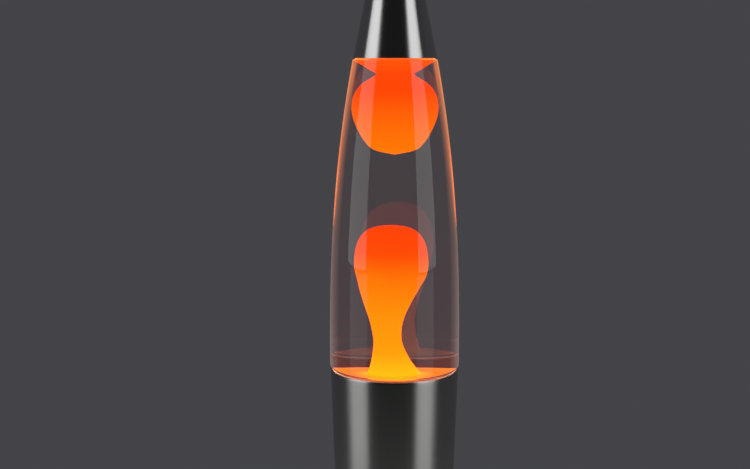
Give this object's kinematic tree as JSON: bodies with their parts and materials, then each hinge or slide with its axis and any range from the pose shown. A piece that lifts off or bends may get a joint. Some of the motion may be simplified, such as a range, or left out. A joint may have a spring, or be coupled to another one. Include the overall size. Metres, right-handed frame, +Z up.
{
  "type": "lava lamp",
  "caption": "Lava lamp: a tapered sealed glass bottle of liquid and wax on a flared spun-metal base, under a conical metal cap.",
  "frame": {"origin": "centre of the base at table level", "axes": "+Z up along the lamp's axis, -Y towards the front, the cord's inlet at the back on +Y"},
  "size_m": [0.1002, 0.1002, 0.406],
  "materials": {
    "spun_aluminium": "spun and brushed, clear lacquered",
    "clear_glass": "clear blown glass",
    "clear_liquid": "clear liquid",
    "orange_wax": "translucent dyed wax, lit from below",
    "coil_steel": "bright steel wire",
    "tinplate": "tinned sheet",
    "zinc_steel": "zinc plated",
    "black_steel": "black enamelled sheet",
    "black_rubber": "matt moulded",
    "silicone": "translucent moulded",
    "porcelain": "glazed porcelain",
    "brass": "pressed sheet",
    "frosted_glass": "inside frosted, lit",
    "vitrite": "black fused glass",
    "tungsten": "drawn wire",
    "nylon": "moulded",
    "lead_sleeve": "heat resistant sleeve over stranded copper"
  },
  "bodies": {
    "base": {"base_shell": "spun_aluminium", "cord_grommet": "black_rubber", "bottom_plate": "black_steel", "bottle_seat": "zinc_steel", "seat_cushion": "silicone", "socket_bracket": "zinc_steel", "lampholder_body": "porcelain", "lampholder_thread": "brass", "lampholder_contact": "brass", "holder_nipple": "zinc_steel", "holder_washer": "zinc_steel", "holder_nut": "zinc_steel", "terminal_block": "nylon", "block_screw": "zinc_steel", "plate_lug_1": "zinc_steel", "plate_lug_2": "zinc_steel", "plate_lug_3": "zinc_steel", "plate_screw_1": "zinc_steel", "plate_screw_2": "zinc_steel", "plate_screw_3": "zinc_steel", "rubber_foot_1": "black_rubber", "rubber_foot_2": "black_rubber", "rubber_foot_3": "black_rubber", "rubber_foot_4": "black_rubber", "bracket_rivet_1": "zinc_steel", "bracket_rivet_2": "zinc_steel", "lead_neutral": "lead_sleeve", "lead_live": "lead_sleeve", "clamp_screw_1": "brass", "clamp_screw_2": "brass", "clamp_screw_3": "brass", "clamp_screw_4": "brass"},
    "bulb": {"bulb_envelope": "frosted_glass", "bulb_screw_cap": "brass", "bulb_insulator": "vitrite", "bulb_tip_contact": "tinplate", "bulb_stem": "clear_glass", "bulb_filament": "tungsten"},
    "bottle": {"glass_bottle": "clear_glass", "clear_liquid": "clear_liquid", "wax_column": "orange_wax", "wax_blob": "orange_wax", "wire_coil": "coil_steel", "crown_cork": "tinplate", "crown_seal": "silicone"},
    "cap": {"top_cap": "spun_aluminium"}
  },
  "joints": [
    {"name": "bulb_turn", "type": "hinge", "parent": "base", "child": "bulb", "pos_m": [0, 0, 0.0455], "axis": [0, 0, 1], "continuous": true},
    {"name": "bottle_lift", "type": "slide", "parent": "base", "child": "bottle", "axis": [0, 0, 1], "range_m": [0, 0.07]},
    {"name": "cap_lift", "type": "slide", "parent": "bottle", "child": "cap", "axis": [0, 0, 1], "range_m": [0, 0.08]}
  ]
}
